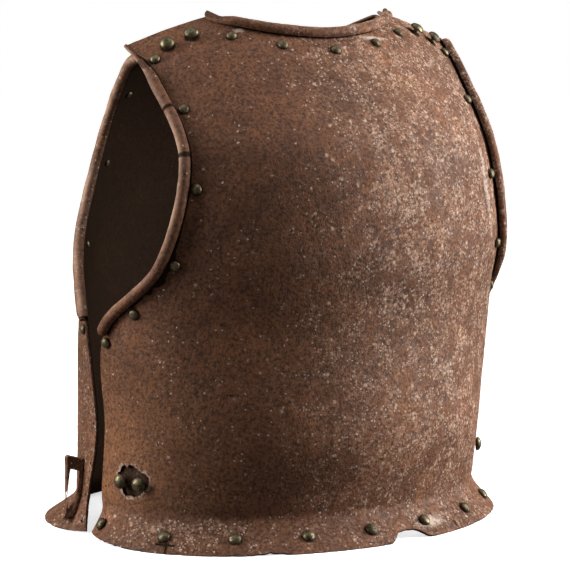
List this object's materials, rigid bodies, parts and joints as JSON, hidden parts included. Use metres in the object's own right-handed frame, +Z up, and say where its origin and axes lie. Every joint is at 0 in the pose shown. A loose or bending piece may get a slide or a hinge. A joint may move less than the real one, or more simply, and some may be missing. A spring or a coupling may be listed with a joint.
{
  "type": "cuirass",
  "caption": "Breastplate and backplate of rusted forged iron for the torso, with rolled edges, brass lining rivets and belt loops at the waist.",
  "frame": {"origin": "middle of the bounding box's base, on the surface that both hems stand on", "axes": "+Z up; the back faces +Y and the breast faces -Y; the wearer's left is +X"},
  "size_m": [0.365, 0.3092, 0.4037],
  "materials": {
    "back_iron": "rusted and pitted forged sheet iron",
    "breast_iron": "rusted forged sheet iron",
    "wire_iron": "rusted iron wire, hidden in the rolled edges",
    "loop_iron": "rusted forged bar",
    "washer_iron": "dark rusted sheet",
    "lining_brass": "dark tarnished brass",
    "strap_brass": "dark tarnished brass"
  },
  "bodies": {
    "back": {"backplate": "back_iron", "back_neck_wire": "wire_iron", "back_arm_wire_left": "wire_iron", "back_arm_wire_right": "wire_iron", "back_neck_rivets": "lining_brass", "back_arm_rivets_left": "lining_brass", "back_arm_rivets_right": "lining_brass", "back_waist_rivets": "lining_brass", "strap_rivets_left": "strap_brass", "strap_rivets_right": "strap_brass", "belt_rivets_left": "strap_brass", "belt_rivets_right": "strap_brass", "belt_washer_left": "washer_iron", "belt_washer_right": "washer_iron"},
    "breast": {"breastplate": "breast_iron", "breast_neck_wire": "wire_iron", "breast_arm_wire_left": "wire_iron", "breast_arm_wire_right": "wire_iron", "breast_neck_rivets": "lining_brass", "breast_arm_rivets_left": "lining_brass", "breast_arm_rivets_right": "lining_brass", "strap_stud_left": "strap_brass", "strap_stud_right": "strap_brass", "belt_loop_left": "loop_iron", "belt_loop_right": "loop_iron", "loop_rivets_left": "loop_iron", "loop_rivets_right": "loop_iron"}
  },
  "joints": [
    {"name": "breast_draw_off", "type": "slide", "parent": "back", "child": "breast", "axis": [0, -1, 0], "range_m": [0, 0.25]}
  ]
}
